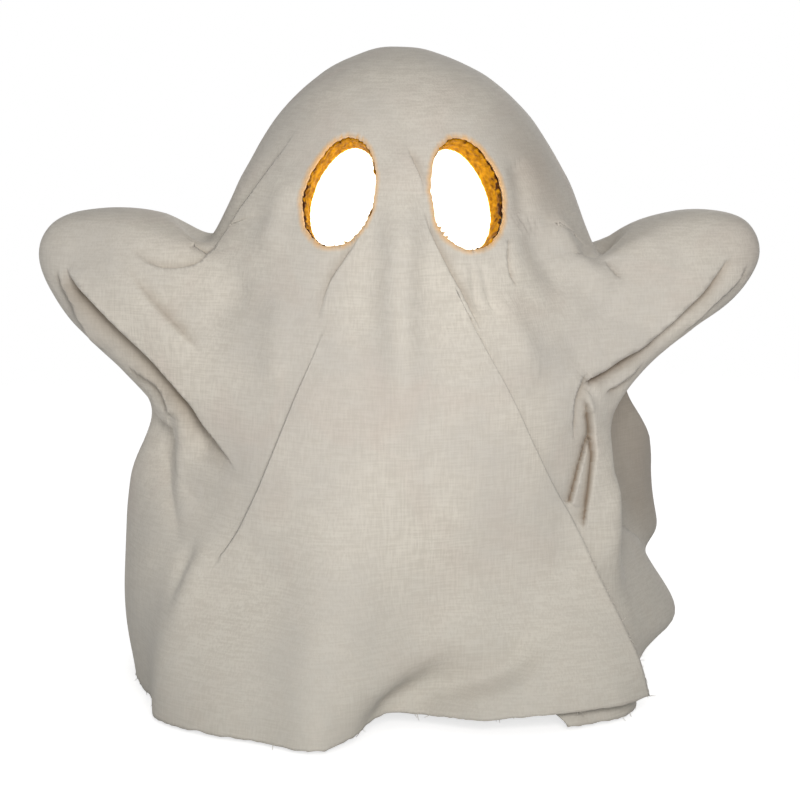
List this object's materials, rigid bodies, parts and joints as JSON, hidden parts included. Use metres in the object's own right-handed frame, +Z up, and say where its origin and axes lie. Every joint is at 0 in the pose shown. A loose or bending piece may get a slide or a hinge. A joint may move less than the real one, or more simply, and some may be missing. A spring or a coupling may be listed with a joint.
{
  "type": "lit ghost decoration",
  "caption": "Draped cloth ghost figure with raised arms and lit eye openings, carried on a column over a round battery base.",
  "frame": {"origin": "on the floor, under the axis of the support column", "axes": "+Z up; -Y is the front, where the eyes look; +X runs along the arms, to the right as seen from the front"},
  "size_m": [0.3564, 0.2791, 0.315],
  "materials": {
    "cloth": "stiffened plain-weave cotton, matt",
    "shell": "satin, slightly translucent",
    "amber": "rough cut edge, lit from behind",
    "lens": "frosted, lit from behind",
    "frame": "moulded, fine grain",
    "steel": "zinc plated",
    "rubber": "soft, matt",
    "cells": "plain wrap",
    "brass": "stamped",
    "dark": "moulded",
    "slider": "moulded",
    "board": "lacquered board",
    "led": "clear cast",
    "opal": "opal",
    "lead": "soft insulation"
  },
  "bodies": {
    "ghost": {"cloth_drape": "cloth", "head_shell": "shell", "left_eye_collar": "amber", "right_eye_collar": "amber", "left_eye_lens": "lens", "right_eye_lens": "lens", "neck_plate": "frame", "neck_screws": "steel", "support_column": "frame", "shoulder_collar": "frame", "arm_screws": "steel", "left_arm": "frame", "right_arm": "frame", "left_hand_cap": "frame", "right_hand_cap": "frame", "base_housing": "frame", "base_cover": "frame", "base_screws": "steel", "rubber_feet": "rubber", "battery_cells": "cells", "contact_springs": "steel", "contact_plates": "brass", "door_hinge_pin": "steel", "switch_body": "dark", "lamp_cup": "frame", "led_board": "board", "led_emitters": "led", "lamp_dome": "opal", "lamp_lead": "lead"},
    "battery_door": {"battery_door": "frame"},
    "switch_slider": {"switch_slider": "slider"}
  },
  "joints": [
    {"name": "door_hinge", "type": "hinge", "parent": "ghost", "child": "battery_door", "pos_m": [0, 0.033, 0.005], "axis": [1, 0, 0], "range_deg": [0, 95]},
    {"name": "switch_slide", "type": "slide", "parent": "ghost", "child": "switch_slider", "axis": [0, 1, 0], "range_m": [0, 0.004]}
  ]
}
